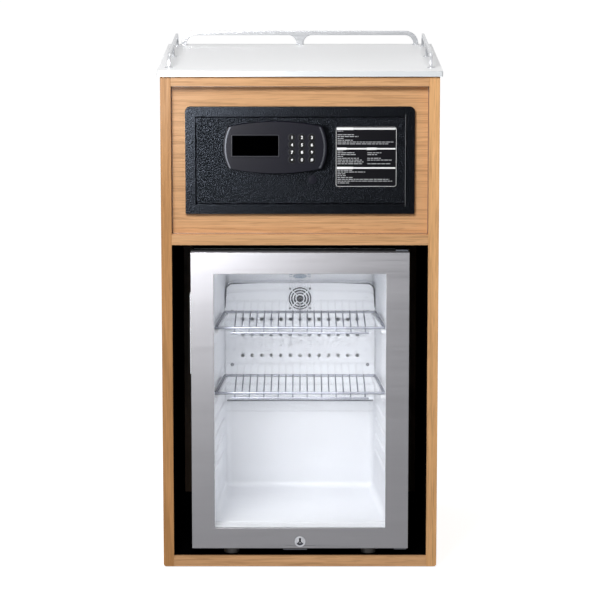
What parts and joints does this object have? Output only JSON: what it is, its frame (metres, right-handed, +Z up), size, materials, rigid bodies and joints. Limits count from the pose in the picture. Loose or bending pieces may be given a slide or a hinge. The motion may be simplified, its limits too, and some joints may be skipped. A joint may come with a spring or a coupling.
{
  "type": "minibar cabinet with safe",
  "caption": "Free-standing wooden cabinet with an electronic keypad safe above a glass-door minibar fridge, a slab worktop and a low gallery rail.",
  "frame": {"origin": "on the floor, under the middle of the worktop", "axes": "+X to the right seen from the front, +Y to the rear, +Z up"},
  "size_m": [0.51, 0.5, 0.941],
  "materials": {
    "oak": "clear satin oak veneer",
    "black_laminate": "black laminate",
    "white_glass": "white back-painted glass, polished",
    "bedding": "dark strip",
    "rail_chrome": "brushed chrome",
    "glide_plastic": "black",
    "hardboard": "brown hardboard",
    "batten_wood": "raw softwood",
    "safe_paint": "charcoal pebbled powder coat",
    "keypad_plastic": "dark grey",
    "trim_silver": "bright",
    "display_black": "black window",
    "key_black": "black with white digit",
    "plate_print": "dark plate with plain white bars",
    "zinc_steel": "zinc plated",
    "fridge_black": "black sheet",
    "foam": "rigid foam",
    "liner_white": "white formed liner",
    "panel_white": "white",
    "fan_grey": "grey",
    "lamp_cover": "milky lamp cover",
    "evaporator_alu": "plain",
    "shelf_wire": "chromed wire",
    "compressor_black": "black enamel",
    "condenser_black": "black enamel",
    "inlet_black": "black",
    "door_steel": "horizontally brushed stainless",
    "door_plastic": "white",
    "door_glass": "clear",
    "gasket": "light grey",
    "lock_chrome": "polished"
  },
  "bodies": {
    "cabinet": {"side_panel_left": "oak", "side_panel_right": "oak", "top_panel": "oak", "middle_shelf": "oak", "bottom_panel": "oak", "safe_fascia": "oak", "back_panel": "hardboard", "bay_lining": "black_laminate", "floor_glides": "glide_plastic", "worktop": "white_glass", "worktop_bedding": "bedding", "gallery_rail_back": "rail_chrome", "gallery_rails_side": "rail_chrome", "safe_body": "safe_paint", "safe_battens": "batten_wood", "safe_anchor_bolts": "zinc_steel", "fridge_wrap": "fridge_black", "fridge_insulation": "foam", "fridge_liner": "liner_white", "fridge_base": "zinc_steel", "fridge_feet": "glide_plastic", "air_panel": "panel_white", "fan_grille": "panel_white", "lamp_housing": "lamp_cover", "evaporator": "evaporator_alu", "compressor": "compressor_black", "condenser": "condenser_black", "power_inlet": "inlet_black", "door_hinges": "zinc_steel", "lock_striker": "zinc_steel"},
    "safe_door": {"safe_door_plate": "safe_paint", "lock_cover": "safe_paint", "keypad_housing": "keypad_plastic", "keypad_trims": "trim_silver", "display_window": "display_black", "instruction_plate": "plate_print", "override_lock_cap": "keypad_plastic"},
    "fridge_door": {"door_frame": "door_steel", "door_inner_frame": "door_plastic", "door_glass": "door_glass", "door_gasket": "gasket", "door_pull": "door_steel", "lock_housing": "lock_chrome"},
    "fan_rotor": {"fan_rotor": "fan_grey"},
    "shelf_upper": {"shelf_upper": "shelf_wire"},
    "shelf_lower": {"shelf_lower": "shelf_wire"},
    "locking_bolts": {"locking_bolts": "zinc_steel"},
    "door_lock": {"lock_plug": "lock_chrome"},
    "key_1": {"key_1": "key_black"},
    "key_2": {"key_2": "key_black"},
    "key_3": {"key_3": "key_black"},
    "key_4": {"key_4": "key_black"},
    "key_5": {"key_5": "key_black"},
    "key_6": {"key_6": "key_black"},
    "key_7": {"key_7": "key_black"},
    "key_8": {"key_8": "key_black"},
    "key_9": {"key_9": "key_black"},
    "key_star": {"key_star": "key_black"},
    "key_0": {"key_0": "key_black"},
    "key_hash": {"key_hash": "key_black"}
  },
  "joints": [
    {"name": "safe_door_hinge", "type": "hinge", "parent": "cabinet", "child": "safe_door", "pos_m": [0.165, -0.2265, 0.752], "axis": [0, 0, 1], "range_deg": [0, 100]},
    {"name": "locking_bolts_slide", "type": "slide", "parent": "safe_door", "child": "locking_bolts", "axis": [-1, 0, 0], "range_m": [0, 0.015]},
    {"name": "fridge_door_hinge", "type": "hinge", "parent": "cabinet", "child": "fridge_door", "pos_m": [0.187, -0.225, 0.3112], "axis": [0, 0, 1], "range_deg": [0, 110]},
    {"name": "door_lock_turn", "type": "hinge", "parent": "fridge_door", "child": "door_lock", "pos_m": [0, -0.245, 0.0495], "axis": [0, -1, 0], "range_deg": [0, 90]},
    {"name": "fan_spin", "type": "hinge", "parent": "cabinet", "child": "fan_rotor", "pos_m": [0, 0.045, 0.4495], "axis": [0, 1, 0], "continuous": true},
    {"name": "shelf_upper_slide", "type": "slide", "parent": "cabinet", "child": "shelf_upper", "axis": [0, -1, 0], "range_m": [0, 0.012]},
    {"name": "shelf_lower_slide", "type": "slide", "parent": "cabinet", "child": "shelf_lower", "axis": [0, -1, 0], "range_m": [0, 0.012]},
    {"name": "key_1_press", "type": "slide", "parent": "safe_door", "child": "key_1", "axis": [0, 1, 0], "range_m": [0, 0.0015], "stiffness_N_per_m": 400},
    {"name": "key_2_press", "type": "slide", "parent": "safe_door", "child": "key_2", "axis": [0, 1, 0], "range_m": [0, 0.0015], "stiffness_N_per_m": 400},
    {"name": "key_3_press", "type": "slide", "parent": "safe_door", "child": "key_3", "axis": [0, 1, 0], "range_m": [0, 0.0015], "stiffness_N_per_m": 400},
    {"name": "key_4_press", "type": "slide", "parent": "safe_door", "child": "key_4", "axis": [0, 1, 0], "range_m": [0, 0.0015], "stiffness_N_per_m": 400},
    {"name": "key_5_press", "type": "slide", "parent": "safe_door", "child": "key_5", "axis": [0, 1, 0], "range_m": [0, 0.0015], "stiffness_N_per_m": 400},
    {"name": "key_6_press", "type": "slide", "parent": "safe_door", "child": "key_6", "axis": [0, 1, 0], "range_m": [0, 0.0015], "stiffness_N_per_m": 400},
    {"name": "key_7_press", "type": "slide", "parent": "safe_door", "child": "key_7", "axis": [0, 1, 0], "range_m": [0, 0.0015], "stiffness_N_per_m": 400},
    {"name": "key_8_press", "type": "slide", "parent": "safe_door", "child": "key_8", "axis": [0, 1, 0], "range_m": [0, 0.0015], "stiffness_N_per_m": 400},
    {"name": "key_9_press", "type": "slide", "parent": "safe_door", "child": "key_9", "axis": [0, 1, 0], "range_m": [0, 0.0015], "stiffness_N_per_m": 400},
    {"name": "key_star_press", "type": "slide", "parent": "safe_door", "child": "key_star", "axis": [0, 1, 0], "range_m": [0, 0.0015], "stiffness_N_per_m": 400},
    {"name": "key_0_press", "type": "slide", "parent": "safe_door", "child": "key_0", "axis": [0, 1, 0], "range_m": [0, 0.0015], "stiffness_N_per_m": 400},
    {"name": "key_hash_press", "type": "slide", "parent": "safe_door", "child": "key_hash", "axis": [0, 1, 0], "range_m": [0, 0.0015], "stiffness_N_per_m": 400}
  ]
}
